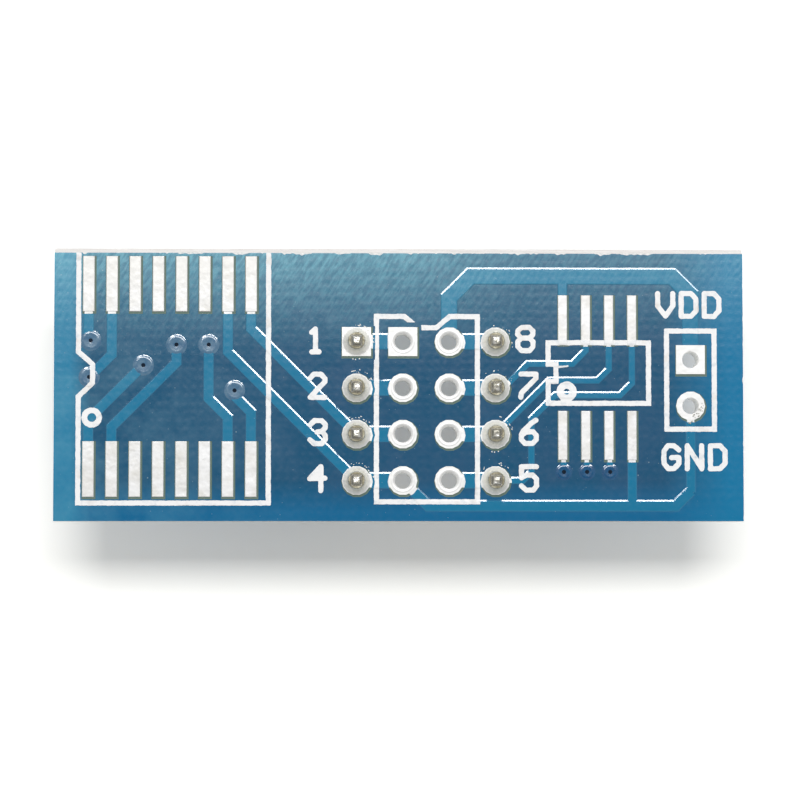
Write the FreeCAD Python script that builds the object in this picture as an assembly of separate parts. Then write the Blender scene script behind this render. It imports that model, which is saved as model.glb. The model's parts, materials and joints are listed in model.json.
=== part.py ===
import FreeCAD, Part
import math
import os
from FreeCAD import Vector

# An adapter board that takes an eight or sixteen lead surface chip down to eight pins in two rows.
# It stands on its pins. All sizes are in millimetres. X runs along the board, Z is up, the origin is
# under the board's middle at the pin tips.

# layers
laminate_thick = 1.6
copper_thick = 0.035
tin_thick = 0.025
film_thick = 0.02
ink_thick = 0.02

# pins and their strips
pin_side = 0.64
pin_chamfer = 0.05
pin_below_strip = 6.0
pin_above_strip = 3.0
tip_length = 0.3
tip_side = 0.3
strip_height = 2.54
strip_width = 2.5
strip_notch = 0.4

# holes and lands
pitch = 2.54
pin_row_gap = 7.62
field_row_gap = 2.54
power_pitch = 2.54
hole_clearance = 0.033
plating = 0.035
land_ring = 0.35
mask_gap = 0.065
mask_shift_east = 0.035
mask_shift_south = 0.06
solder_rim = 0.03
solder_collar = 0.03
solder_height = 1.02
solder_levels = 2
solder_above_underside = 0.1

# chip places
wide_pitch = 1.27
wide_count = 8
wide_rows = 10.16
wide_pad_width = 0.64
wide_pad_length = 3.05
narrow_pitch = 1.27
narrow_count = 4
narrow_rows = 6.36
narrow_pad_width = 0.51
narrow_pad_length = 2.7
pad_bevel = 0.03

# gaps along the board, from the left edge to the right one
left_margin = 1.885
wide_to_pins = 5.775
pins_to_narrow = 3.695
narrow_to_power = 3.225
right_margin = 2.9

# gaps across the board, from the south edge
wide_south_margin = 1.315
wide_north_margin = 0.475
pins_south = 2.22
narrow_south = 4.7
power_south = 6.33

# the snapped score along the north edge
score_depth = 0.5
score_run = 0.29

# how many flats stand in for a small round outline
land_sides = 14
hidden_sides = 10
filled_sides = 8
via_sides = 8

# traces and vias
signal_width = 0.45
fine_width = 0.25
link_width = 0.762
supply_width = 0.78
ground_width = 0.5
ground_drop_width = 0.4
stub_width = 0.4
under_width = 0.25
via_d = 0.98
small_via_d = 0.74
via_drill = 0.3
ridge_run = 0.085
ridge_foot_share = 0.25
lane_shift = 0.61
under_lane = 0.4
under_lane_gap = 0.48
under_lane_north = 1.1
under_run_gap = 0.38
supply_rail_up = 2.395
ground_rail_up = 0.833
ground_overlap = 0.1
feed_slope = 1.19
feed_turn = 0.985
via_1_drop = 2.95
via_2_drop = 0.3

# vias beside the large chip's pads: how far each is set off from one of that chip's leads
via_1_west = 1.05
via_1_up = 6.82
via_2_west = 0.9
via_2_up = 4.31
via_5_east = 0.04
via_5_down = 5.12
via_6_east = 0.12
via_6_down = 3.12
via_7_east = 3.0
via_7_up = 5.69
via_8_east = 3.54
via_8_up = 6.82
small_via_east = 0.06
small_via_south = 2.0

# the three fine traces under the small chip's place, each with a level run
lane_7_up = 1.33
lane_7_start = 0.45
lane_7_end = 0.73
lane_6_down = 0.91
lane_6_end = 0.62
lane_5_down = 0.81
lane_5_end = 0.66
riser_5_east = 1.97
riser_5_corner = 0.47
riser_5_top = 1.31

# ink lines
ink_width = 0.28
ink_clear = 0.13
ring_d = 1.13

# the large chip's ink outline, set off from its outer pads, with a notch in the west side
wide_frame_west = 0.545
wide_frame_east = 0.955
wide_frame_south = 0.325
wide_notch_low = 3.97
wide_notch_low_run = 0.74
wide_notch_floor = 1.03
wide_notch_top_run = 0.67
wide_notch_depth = 0.78
wide_ring_east = 0.195
wide_ring_up = 2.82
wide_ring_width = 0.32

# the pin field's ink outline, with a dip in the north side
field_frame_half = 2.77
field_frame_north = 1.39
field_frame_south = 1.16
field_dip_half = 1.245
field_dip_floor = 0.505
field_dip_depth = 0.62

# the small chip's ink outline, with a notch in the west side
narrow_frame_west = 0.795
narrow_frame_east = 0.915
narrow_frame_low = 1.765
narrow_frame_high = 1.26
narrow_notch_top = 1.19
narrow_notch_low = 1.205
narrow_notch_depth = 0.43
narrow_ring_east = 0.22
narrow_ring_up = 2.41
narrow_ring_width = 0.4

# the power holes' ink outline
power_frame_side = 1.31
power_frame_end = 1.43
power_frame_up = 0.15

# how far a cutting block runs past what it cuts
past = 1.0

# levels
z_strip = pin_below_strip
z_seat = z_strip + strip_height
z_low = z_seat + copper_thick + film_thick
z_film_low = z_low - film_thick
z_top = z_low + laminate_thick
z_face = z_top + film_thick
z_ridge = z_top + copper_thick + film_thick
pad_thick = copper_thick + tin_thick
z_land = z_top + pad_thick
z_land_low = z_low - pad_thick
z_pin_top = z_seat + pin_above_strip

# places along X, worked out from the gaps
board_length = (
    left_margin
    + (wide_count - 1) * wide_pitch
    + wide_to_pins
    + pin_row_gap
    + pins_to_narrow
    + (narrow_count - 1) * narrow_pitch
    + narrow_to_power
    + right_margin
)
x_west = -board_length / 2
x_east = board_length / 2
x_wide = x_west + left_margin
x_pins_left = x_wide + (wide_count - 1) * wide_pitch + wide_to_pins
x_pins_right = x_pins_left + pin_row_gap
x_pins = (x_pins_left + x_pins_right) / 2
x_field_left = x_pins - field_row_gap / 2
x_field_right = x_pins + field_row_gap / 2
x_narrow = x_pins_right + pins_to_narrow
x_power = x_narrow + (narrow_count - 1) * narrow_pitch + narrow_to_power

# places along Y
board_width = wide_south_margin + wide_pad_length + wide_rows + wide_north_margin
y_south = -board_width / 2
y_north = board_width / 2
y_face_north = y_north - score_run
y_wide_low = y_south + wide_south_margin + wide_pad_length / 2
y_wide_high = y_wide_low + wide_rows
y_pins_low = y_south + pins_south
y_narrow_low = y_south + narrow_south
y_narrow_high = y_narrow_low + narrow_rows
y_ground = y_south + power_south
y_supply = y_ground + power_pitch
y_supply_rail = y_narrow_high + supply_rail_up
y_ground_rail = y_south + ground_rail_up

# a pin's cut corners reach this far out, and the hole leaves them a clearance
pin_corner_r = (pin_side - pin_chamfer) / math.sqrt(2)
hole_r = pin_corner_r + hole_clearance
drill_r = hole_r + plating
land_r = hole_r + land_ring
# the filled barrels are in flats, whose corners lie on this radius
fill_r = drill_r - plating / math.cos(math.pi / filled_sides)


def row_y(row):
    """The height of a pin row, counted 1 to 4 from the north."""
    return y_pins_low + (4 - row) * pitch


def wide_x(lead):
    """The place along the board of a lead of the large chip, 1 to 8 low row, 9 to 16 high row."""
    step = lead - 1 if lead <= wide_count else 2 * wide_count - lead
    return x_wide + step * wide_pitch


def wide_y(lead):
    return y_wide_low if lead <= wide_count else y_wide_high


def narrow_x(lead):
    """The place along the board of a lead of the small chip, 1 to 4 low row, 5 to 8 high row."""
    step = lead - 1 if lead <= narrow_count else 2 * narrow_count - lead
    return x_narrow + step * narrow_pitch


def narrow_y(lead):
    return y_narrow_low if lead <= narrow_count else y_narrow_high


def fuse_all(shapes):
    """One solid of several that meet."""
    if len(shapes) == 1:
        return shapes[0]
    return shapes[0].multiFuse(shapes[1:]).removeSplitter()


def prism(points, z_from, z_to):
    """An upright block on an outline of points in plan."""
    corners = [Vector(x, y, z_from) for x, y in points]
    face = Part.Face(Part.makePolygon(corners + corners[:1]))
    return face.extrude(Vector(0, 0, z_to - z_from))


def stacked(layers):
    """A block of flat faces through outlines of equal corner counts, each given with its level."""
    rings = [[Vector(x, y, z) for x, y in points] for points, z in layers]
    count = len(rings[0])
    faces = [Part.Face(Part.makePolygon(ring + ring[:1])) for ring in (rings[0], rings[-1])]
    for low, high in zip(rings, rings[1:]):
        for k in range(count):
            near, far = k, (k + 1) % count
            corners = [low[near], low[far], high[far], high[near], low[near]]
            faces.append(Part.Face(Part.makePolygon(corners)))
    solid = Part.makeSolid(Part.makeShell(faces))
    if solid.Volume < 0:
        solid.reverse()
    return solid


def tapered(points_a, z_a, points_b, z_b):
    """A block whose outline changes evenly from one level to another."""
    return stacked([(points_a, z_a), (points_b, z_b)])


def rectangle(x, y, width, length):
    """The corners of a rectangle about a point, width along X and length along Y."""
    return [
        (x - width / 2, y - length / 2),
        (x + width / 2, y - length / 2),
        (x + width / 2, y + length / 2),
        (x - width / 2, y + length / 2),
    ]


def many_sided(x, y, radius, sides):
    """The corners of a regular outline about a point."""
    turn = 2 * math.pi / sides
    return [(x + radius * math.cos(k * turn), y + radius * math.sin(k * turn)) for k in range(sides)]


def cylinder(x, y, radius, z_from, z_to):
    return Part.makeCylinder(radius, z_to - z_from, Vector(x, y, z_from))


def offset_side(path, distance, closed):
    """The path shifted to its left by a distance, with mitred corners."""
    count = len(path)
    shifted = []
    for k in range(count):
        before = path[k - 1] if closed or k > 0 else None
        after = path[(k + 1) % count] if closed or k < count - 1 else None
        normals = []
        for start, end in ((before, path[k]), (path[k], after)):
            if start is None or end is None:
                continue
            dx, dy = end[0] - start[0], end[1] - start[1]
            length = math.hypot(dx, dy)
            normals.append((-dy / length, dx / length))
        nx = sum(n[0] for n in normals) / len(normals)
        ny = sum(n[1] for n in normals) / len(normals)
        size = nx * nx + ny * ny
        shifted.append((path[k][0] + distance * nx / size, path[k][1] + distance * ny / size))
    return shifted


def ribbon(path, width):
    """The outline in plan of a line of one width along an open path."""
    left = offset_side(path, width / 2, False)
    right = offset_side(path, -width / 2, False)
    return left + right[::-1]


def net_links(net):
    """The two header holes of a net: the pin's place and the field hole's place."""
    row = net if net <= 4 else 9 - net
    if net <= 4:
        return (x_pins_left, row_y(row)), (x_field_left, row_y(row))
    return (x_pins_right, row_y(row)), (x_field_right, row_y(row))


large_vias = {
    6: (wide_x(16) + via_6_east, wide_y(16) - via_6_down),
    5: (wide_x(16) + via_5_east, wide_y(16) - via_5_down),
    7: (wide_x(1) + via_7_east, wide_y(1) + via_7_up),
    8: (wide_x(2) + via_8_east, wide_y(2) + via_8_up),
    1: (wide_x(7) - via_1_west, wide_y(7) + via_1_up),
    2: (wide_x(8) - via_2_west, wide_y(8) + via_2_up),
}
# vias below the small chip's place, in line with its first three pads
small_vias = {
    net: (narrow_x(net) + small_via_east, y_narrow_low - small_via_south) for net in (1, 2, 3)
}


def top_paths():
    """Each trace on the top: its net, its width and the points it runs through."""
    pin = {net: net_links(net)[0] for net in range(1, 9)}
    field = {net: net_links(net)[1] for net in range(1, 9)}
    paths = [(net, link_width, [pin[net], field[net]]) for net in range(1, 9)]

    # from the large chip's pads to the vias beside them
    via = large_vias
    rise_5 = via[5][1] + abs(wide_x(15) - via[5][0])
    turn_7 = via[7][1] - abs(via[7][0] - wide_x(1))
    turn_8 = via[8][1] - feed_turn
    bend_1 = via[1][1] - via_1_drop
    bend_2 = via[2][1] - via_2_drop
    paths += [
        (6, signal_width, [(wide_x(16), wide_y(16)), (wide_x(16), via[6][1]), via[6]]),
        (5, signal_width, [(wide_x(15), wide_y(15)), (wide_x(15), rise_5), via[5]]),
        (7, signal_width, [(wide_x(1), wide_y(1)), (wide_x(1), turn_7), via[7]]),
        (8, signal_width, [
            (wide_x(2), wide_y(2)),
            (wide_x(2), turn_8 - abs(via[8][0] - wide_x(2))),
            (via[8][0], turn_8),
            via[8],
        ]),
        (1, signal_width, [
            (wide_x(7), wide_y(7)),
            (wide_x(7), bend_1 - abs(wide_x(7) - via[1][0])),
            (via[1][0], bend_1),
            via[1],
        ]),
        (2, signal_width, [
            (wide_x(8), wide_y(8)),
            (wide_x(8), bend_2 - abs(wide_x(8) - via[2][0])),
            (via[2][0], bend_2),
            via[2],
        ]),
    ]

    # from the large chip's upper pads slantwise to the lower left pins
    for net, lead in ((4, 10), (3, 9)):
        drop = pin[net][1] + (pin[net][0] - wide_x(lead))
        paths.append((net, signal_width, [(wide_x(lead), wide_y(lead)), (wide_x(lead), drop), pin[net]]))

    # supply: over the top of the small chip's place to the upper power hole
    x_rise = field[8][0]
    paths += [
        (8, supply_width, [
            field[8],
            (x_rise, y_supply_rail - feed_slope),
            (x_rise + feed_slope, y_supply_rail),
            (x_power - feed_turn, y_supply_rail),
            (x_power, y_supply_rail - feed_turn),
            (x_power, y_supply),
        ]),
        (8, stub_width, [(narrow_x(8), y_supply_rail), (narrow_x(8), y_narrow_high)]),
    ]

    # ground: along the south edge to the lower power hole
    y_start = field[4][1]
    slope = y_start - y_ground_rail
    paths += [
        (4, ground_width, [
            field[4],
            (field[4][0] + slope, y_ground_rail),
            (x_power - ground_rail_up, y_ground_rail),
            (x_power, y_ground_rail + ground_rail_up),
        ]),
        (4, ground_drop_width, [
            (x_power, y_ground_rail + ground_rail_up - ground_overlap),
            (x_power, y_ground),
        ]),
        (4, stub_width, [(narrow_x(4), y_ground_rail), (narrow_x(4), y_narrow_low)]),
    ]

    # three fine traces under the small chip's place
    y_mid_7 = pin[7][1] + lane_7_up
    y_mid_6 = y_mid_7 - lane_6_down
    y_mid_5 = y_mid_6 - lane_5_down
    x_leave_7 = pin[7][0] + lane_7_start
    x_step_7 = narrow_x(7) - lane_7_end
    x_step_6 = narrow_x(6) - lane_6_end
    x_step_5 = narrow_x(5) - lane_5_end
    x_lane_5 = pin[5][0] + riser_5_east
    paths += [
        (7, fine_width, [
            pin[7],
            (x_leave_7, pin[7][1]),
            (x_leave_7 + y_mid_7 - pin[7][1], y_mid_7),
            (x_step_7, y_mid_7),
            (narrow_x(7), y_mid_7 + narrow_x(7) - x_step_7),
            (narrow_x(7), y_narrow_high),
        ]),
        (6, fine_width, [
            pin[6],
            (pin[6][0] + y_mid_6 - pin[6][1], y_mid_6),
            (x_step_6, y_mid_6),
            (narrow_x(6), y_mid_6 + narrow_x(6) - x_step_6),
            (narrow_x(6), y_narrow_high),
        ]),
        (5, fine_width, [
            pin[5],
            (x_lane_5 - riser_5_corner, pin[5][1]),
            (x_lane_5, pin[5][1] + riser_5_corner),
            (x_lane_5, y_mid_5 - riser_5_top),
            (x_lane_5 + riser_5_top, y_mid_5),
            (x_step_5, y_mid_5),
            (narrow_x(5), y_mid_5 + narrow_x(5) - x_step_5),
            (narrow_x(5), y_narrow_high),
        ]),
    ]
    for net in (1, 2, 3):
        paths.append((net, fine_width, [(narrow_x(net), y_narrow_low), small_vias[net]]))
    return paths


def under_paths():
    """Each trace on the underside, routed so that none crosses another."""
    pin = {net: net_links(net)[0] for net in range(1, 9)}
    field = {net: net_links(net)[1] for net in range(1, 9)}
    via = large_vias
    half = pitch / 2
    y_over = row_y(1) + land_r + under_lane_north
    paths = [
        (8, [
            via[8],
            (via[8][0] + y_over - via[8][1], y_over),
            (field[8][0] - half, y_over),
            (field[8][0], y_over - half),
            field[8],
        ]),
        (1, [via[1], (pin[1][0] - abs(pin[1][1] - via[1][1]), via[1][1]), pin[1]]),
        (2, [via[2], (pin[2][0] - abs(pin[2][1] - via[2][1]), via[2][1]), pin[2]]),
    ]
    # three nets pass between the pin rows and come up to the far side from the upper left
    for net in (7, 6, 5):
        y_lane = pin[net][1] + half
        x_leave = field[net][0] - half - lane_shift
        fall = via[net][1] - y_lane
        paths.append((net, [
            via[net],
            (via[net][0] + abs(fall), y_lane),
            (x_leave, y_lane),
            (x_leave + half, pin[net][1]),
            field[net],
        ]))
    # three nets leave the near side to the lower right and go down beside the pins
    for net in (1, 2, 3):
        x_down = pin[8][0] + land_r + under_lane + (4 - net) * under_lane_gap - under_lane_gap
        y_lane = field[net][1] - half
        target = small_vias[net]
        run = [field[net], (field[net][0] + half, y_lane), (x_down - under_lane, y_lane)]
        run.append((x_down, y_lane - under_lane))
        if net == 1:
            run += [(x_down, target[1] + target[0] - x_down), target]
        else:
            y_run = target[1] - small_via_d / 2 - under_run_gap - (net - 2) * under_lane_gap
            rise = target[1] - y_run
            run += [(x_down, y_run + under_lane), (x_down + under_lane, y_run)]
            run += [(target[0] - rise, y_run), target]
        paths.append((net, run))
    return paths


def post(x, y, radius, sides, z_from, z_to):
    """An upright block with a small round outline, in flats."""
    return prism(many_sided(x, y, radius, sides), z_from, z_to)


def land(x, y, square, sides, grow, z_from, z_to):
    """A land, or the opening over it when it is grown: square at the first hole, round at the others."""
    if square:
        return prism(rectangle(x, y, 2 * (land_r + grow), 2 * (land_r + grow)), z_from, z_to)
    return post(x, y, land_r + grow, sides, z_from, z_to)


def plated_hole(x, y, square, open_below):
    """A plated barrel with a land on top and, where it is open below, one underneath."""
    low = z_land_low if open_below else z_seat
    sides = hidden_sides if open_below else filled_sides
    shapes = [post(x, y, drill_r, sides, low, z_land)]
    shapes.append(land(x, y, square, land_sides, 0, z_top, z_land))
    if open_below:
        shapes.append(land(x, y, square, land_sides, 0, z_land_low, z_low))
    return shapes


def open_holes():
    """The ten open plated holes: name, place, net, and whether the land is square."""
    holes = []
    for net in range(1, 9):
        x, y = net_links(net)[1]
        holes.append((x, y, net, net == 1))
    holes.append((x_power, y_supply, 8, True))
    holes.append((x_power, y_ground, 4, False))
    return holes


def pin_holes():
    """The eight holes that hold pins: place, net, and whether the land is square."""
    return [(*net_links(net)[0], net, net == 1) for net in range(1, 9)]


def pad(x, y, width, length):
    """A tinned pad with sloping shoulders."""
    base = rectangle(x, y, width, length)
    crown = rectangle(x, y, width - 2 * pad_bevel, length - 2 * pad_bevel)
    block = prism(base, z_top, z_top + copper_thick)
    return block.fuse(tapered(base, z_top + copper_thick, crown, z_land))


wide_nets = {1: 7, 2: 8, 7: 1, 8: 2, 9: 3, 10: 4, 15: 5, 16: 6}


def net_solid(net):
    """All the copper and tin of one net as one piece."""
    shapes = []
    bores = []
    for x, y, owner, square in open_holes():
        if owner == net:
            shapes += plated_hole(x, y, square, True)
            bores.append(cylinder(x, y, hole_r, z_land_low - past, z_land + past))
    for x, y, owner, square in pin_holes():
        if owner == net:
            shapes += plated_hole(x, y, square, False)
            bores.append(post(x, y, fill_r, filled_sides, z_land_low - past, z_land + past))
    for owner, width, path in top_paths():
        if owner == net:
            shapes.append(prism(ribbon(path, width), z_top, z_top + copper_thick))
    for owner, path in under_paths():
        if owner == net:
            shapes.append(prism(ribbon(path, under_width), z_low - copper_thick, z_low))
    for vias, diameter in ((large_vias, via_d), (small_vias, small_via_d)):
        if net in vias:
            x, y = vias[net]
            disc = many_sided(x, y, diameter / 2, via_sides)
            shapes.append(prism(disc, z_top, z_top + copper_thick))
            shapes.append(prism(disc, z_low - copper_thick, z_low))
            shapes.append(prism(rectangle(x, y, via_drill, via_drill), z_low, z_top))
    for lead, owner in wide_nets.items():
        if owner == net:
            shapes.append(pad(wide_x(lead), wide_y(lead), wide_pad_width, wide_pad_length))
    shapes.append(pad(narrow_x(net), narrow_y(net), narrow_pad_width, narrow_pad_length))
    return fuse_all(shapes).cut(Part.makeCompound(bores))


def laminate():
    """The glass-fibre board, with its holes and the snapped score along the north edge."""
    profile = [
        (y_south, z_low),
        (y_face_north, z_low),
        (y_north, z_low + score_depth),
        (y_north, z_top - score_depth),
        (y_face_north, z_top),
        (y_south, z_top),
    ]
    corners = [Vector(x_west, y, z) for y, z in profile]
    board = Part.Face(Part.makePolygon(corners + corners[:1])).extrude(Vector(board_length, 0, 0))
    z_from, z_to = z_low - past, z_top + past
    drills = [post(x, y, drill_r, hidden_sides, z_from, z_to) for x, y, net, square in open_holes()]
    drills += [post(x, y, drill_r, filled_sides, z_from, z_to) for x, y, net, square in pin_holes()]
    for vias in (large_vias, small_vias):
        for x, y in vias.values():
            drills.append(prism(rectangle(x, y, via_drill, via_drill), z_from, z_to))
    return board.cut(Part.makeCompound(drills))


def ridge(path, width, base, up):
    """The mask's sloping bulge over a trace, on the top when up is 1 and below when it is -1."""
    slope = ridge_run / copper_thick
    foot = ridge_foot_share * film_thick
    wide = width + 2 * (ridge_run + slope * (film_thick - foot))
    crest = base + up * (film_thick + copper_thick)
    return tapered(ribbon(path, wide), base + up * foot, ribbon(path, width), crest)


def via_bulge(x, y, diameter, base, up):
    """The mask's bulge over a covered via."""
    slope = ridge_run / copper_thick
    foot = ridge_foot_share * film_thick
    wide = diameter / 2 + ridge_run + slope * (film_thick - foot)
    low = many_sided(x, y, wide, via_sides)
    high = many_sided(x, y, diameter / 2, via_sides)
    return tapered(low, base + up * foot, high, base + up * (film_thick + copper_thick))


def top_windows(grow):
    """The openings over the pads and lands on top, a little off to the south-east as printed."""
    z_from, z_to = z_top - past, z_ridge + past
    pads = [
        (wide_x(lead), wide_y(lead), wide_pad_width, wide_pad_length)
        for lead in range(1, 2 * wide_count + 1)
    ]
    pads += [
        (narrow_x(lead), narrow_y(lead), narrow_pad_width, narrow_pad_length)
        for lead in range(1, 2 * narrow_count + 1)
    ]
    windows = [
        prism(rectangle(x, y, width + 2 * grow, length + 2 * grow), z_from, z_to)
        for x, y, width, length in pads
    ]
    windows += [
        land(x, y, square, land_sides, grow, z_from, z_to)
        for x, y, net, square in open_holes() + pin_holes()
    ]
    group = Part.makeCompound(windows)
    group.translate(Vector(mask_shift_east, -mask_shift_south, 0))
    return group


def under_windows():
    """The openings in the mask underneath, over the open holes' lands and the filled barrels."""
    z_from, z_to = z_low - past, z_low + past
    windows = [
        land(x, y, square, land_sides, mask_gap, z_from, z_to) for x, y, net, square in open_holes()
    ]
    windows += [post(x, y, drill_r, filled_sides, z_from, z_to) for x, y, net, square in pin_holes()]
    return Part.makeCompound(windows)


def top_relief():
    """The mask on top before its openings: an even film with a bulge over each trace and via."""
    outline = [(x_west, y_south), (x_east, y_south), (x_east, y_face_north), (x_west, y_face_north)]
    shapes = [prism(outline, z_top, z_face)]
    shapes += [ridge(path, width, z_top, 1) for net, width, path in top_paths()]
    for vias, diameter in ((large_vias, via_d), (small_vias, small_via_d)):
        shapes += [via_bulge(x, y, diameter, z_top, 1) for x, y in vias.values()]
    return fuse_all(shapes)


def under_relief():
    """The mask underneath before its openings."""
    outline = [(x_west, y_south), (x_east, y_south), (x_east, y_face_north), (x_west, y_face_north)]
    shapes = [prism(outline, z_film_low, z_low)]
    shapes += [ridge(path, under_width, z_low, -1) for net, path in under_paths()]
    for vias, diameter in ((large_vias, via_d), (small_vias, small_via_d)):
        shapes += [via_bulge(x, y, diameter, z_low, -1) for x, y in vias.values()]
    return fuse_all(shapes)


def pin(x, y, hole=False):
    """A square pin with broken corners and bevelled ends, or the plain space that it fills."""
    body = pin_outline(x, y, pin_side, pin_chamfer)
    if hole:
        return prism(body, -past, z_pin_top + past)
    tip = pin_outline(x, y, tip_side, pin_chamfer * tip_side / pin_side)
    shapes = [
        prism(body, tip_length, z_pin_top - tip_length),
        tapered(tip, 0, body, tip_length),
        tapered(body, z_pin_top - tip_length, tip, z_pin_top),
    ]
    return fuse_all(shapes)


def pin_outline(x, y, side, chamfer):
    """A square with its corners cut, about a point."""
    h = side / 2
    c = h - chamfer
    ring = [(h, -c), (h, c), (c, h), (-c, h), (-h, c), (-h, -c), (-c, -h), (c, -h)]
    return [(x + dx, y + dy) for dx, dy in ring]


def strip(x):
    """The moulded body of one row of four pins, notched between its cells."""
    points = []
    h = strip_width / 2
    y_start = y_pins_low - pitch / 2
    for side in (1, -1):
        for k in range(4):
            cell = k if side == 1 else 3 - k
            y_a = y_start + cell * pitch
            y_b = y_a + pitch
            run = [(x + side * (h - strip_notch), y_a), (x + side * h, y_a + strip_notch)]
            run += [(x + side * h, y_b - strip_notch), (x + side * (h - strip_notch), y_b)]
            if side == -1:
                run.reverse()
            points += run if k == 0 else run[1:]
    body = prism(points, z_strip, z_seat)
    holes = [pin(x, row_y(row), hole=True) for row in range(1, 5)]
    return body.cut(Part.makeCompound(holes))


def solder(x, y):
    """A hollow cone of solder from the land up the pin, with the fill in the plated hole below."""
    rim = land_r - solder_rim
    collar = pin_corner_r + solder_collar
    z_fill = z_low + solder_above_underside
    layers = []
    for level in range(solder_levels + 1):
        share = level / solder_levels
        # the wall starts flat on the land and ends steep at the collar
        turn = share * math.pi / 2
        radius = rim - (rim - collar) * math.sin(turn)
        z = z_land + solder_height * (1 - math.cos(turn))
        layers.append((many_sided(x, y, radius, land_sides), z))
    cone = stacked(layers)
    fill = post(x, y, fill_r, filled_sides, z_fill, z_land)
    return cone.fuse(fill).removeSplitter().cut(pin(x, y, hole=True))


def line_frame(corners, z_from, z_to):
    """A closed line of ink along an outline."""
    outer = offset_side(corners, -ink_width / 2, True)
    inner = offset_side(corners, ink_width / 2, True)
    return prism(outer, z_from, z_to).cut(prism(inner, z_from, z_to))


def wide_outline():
    """The path of the large chip's ink outline, open at the north edge."""
    west, east = wide_x(1) - wide_frame_west, wide_x(8) + wide_frame_east
    south = y_wide_low - wide_pad_length / 2 - wide_frame_south
    notch_low = y_wide_low + wide_notch_low
    floor_low = notch_low + wide_notch_low_run
    floor_top = floor_low + wide_notch_floor
    return [
        (west, y_north),
        (west, floor_top + wide_notch_top_run),
        (west + wide_notch_depth, floor_top),
        (west + wide_notch_depth, floor_low),
        (west, notch_low),
        (west, south),
        (east, south),
        (east, y_north),
    ]


def field_outline():
    """The corners of the pin field's ink outline."""
    west, east = x_pins - field_frame_half, x_pins + field_frame_half
    north, south = row_y(1) + field_frame_north, row_y(4) - field_frame_south
    return [
        (x_pins - field_dip_half, north),
        (west, north),
        (west, south),
        (east, south),
        (east, north),
        (x_pins + field_dip_half, north),
        (x_pins + field_dip_floor, north - field_dip_depth),
        (x_pins - field_dip_floor, north - field_dip_depth),
    ]


def narrow_outline():
    """The corners of the small chip's ink outline."""
    west, east = narrow_x(1) - narrow_frame_west, narrow_x(4) + narrow_frame_east
    south, north = y_narrow_low + narrow_frame_low, y_narrow_high - narrow_frame_high
    return [
        (west, south),
        (east, south),
        (east, north),
        (west, north),
        (west, north - narrow_notch_top),
        (west + narrow_notch_depth, north - narrow_notch_top),
        (west + narrow_notch_depth, south + narrow_notch_low),
        (west, south + narrow_notch_low),
    ]


def power_outline():
    """The corners of the power holes' ink outline."""
    middle = (y_supply + y_ground) / 2 + power_frame_up
    return rectangle(x_power, middle, 2 * power_frame_side, power_pitch + 2 * power_frame_end)


def ink_ring(x, y, width, z_from, z_to):
    """A ring of ink beside a chip's first lead."""
    disc = post(x, y, ring_d / 2, land_sides, z_from, z_to)
    return disc.cut(post(x, y, ring_d / 2 - width, land_sides, z_from, z_to))


def ink_strokes(z_from, z_to):
    """The ink lines as upright blocks, before they are fitted to the mask."""
    shapes = [prism(ribbon(wide_outline(), ink_width), z_from, z_to)]
    for corners in (field_outline(), narrow_outline(), power_outline()):
        shapes.append(line_frame(corners, z_from, z_to))
    x, y = wide_x(1) + wide_ring_east, y_wide_low + wide_ring_up
    shapes.append(ink_ring(x, y, wide_ring_width, z_from, z_to))
    x, y = narrow_x(1) + narrow_ring_east, y_narrow_low + narrow_ring_up
    shapes.append(ink_ring(x, y, narrow_ring_width, z_from, z_to))
    return fuse_all(shapes)


def ink(relief):
    """The ink lines laid over the mask's bulges and kept off its openings."""
    lifted = relief.copy()
    lifted.translate(Vector(0, 0, ink_thick))
    strokes = ink_strokes(z_top - past, z_ridge + past)
    return strokes.common(lifted).cut(relief).cut(top_windows(ink_clear))


def save(name, shape):
    solids = shape.Solids
    kept = solids[0] if len(solids) == 1 else Part.makeCompound(solids)
    kept.exportStep("parts/" + name + ".step")
    print(name, len(solids), "solids", round(shape.Volume, 4), "mm3", "valid", kept.isValid())


def main():
    os.makedirs("parts", exist_ok=True)
    nets = {net: net_solid(net) for net in range(1, 9)}
    loose_leads = [lead for lead in range(1, 2 * wide_count + 1) if lead not in wide_nets]
    loose = {
        lead: pad(wide_x(lead), wide_y(lead), wide_pad_width, wide_pad_length) for lead in loose_leads
    }
    copper = Part.makeCompound(list(nets.values()) + list(loose.values()))

    relief = top_relief()
    mask_top = relief.cut(top_windows(mask_gap)).cut(copper)
    mask_under = under_relief().cut(under_windows()).cut(copper)

    save("laminate", laminate())
    save("mask_top", mask_top)
    save("mask_under", mask_under)
    save("ink_lines", ink(relief))
    for net, shape in nets.items():
        save("net_" + str(net), shape)
    for lead, shape in loose.items():
        save("pad_" + str(lead), shape)
    save("strip_left", strip(x_pins_left))
    save("strip_right", strip(x_pins_right))
    for x, y, net, square in pin_holes():
        save("pin_" + str(net), pin(x, y))
        save("solder_" + str(net), solder(x, y))


main()
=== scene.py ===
import json
import math

import bmesh
import bpy
import numpy as np
from mathutils import Matrix, Vector, noise
from mathutils.bvhtree import BVHTree


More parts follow.
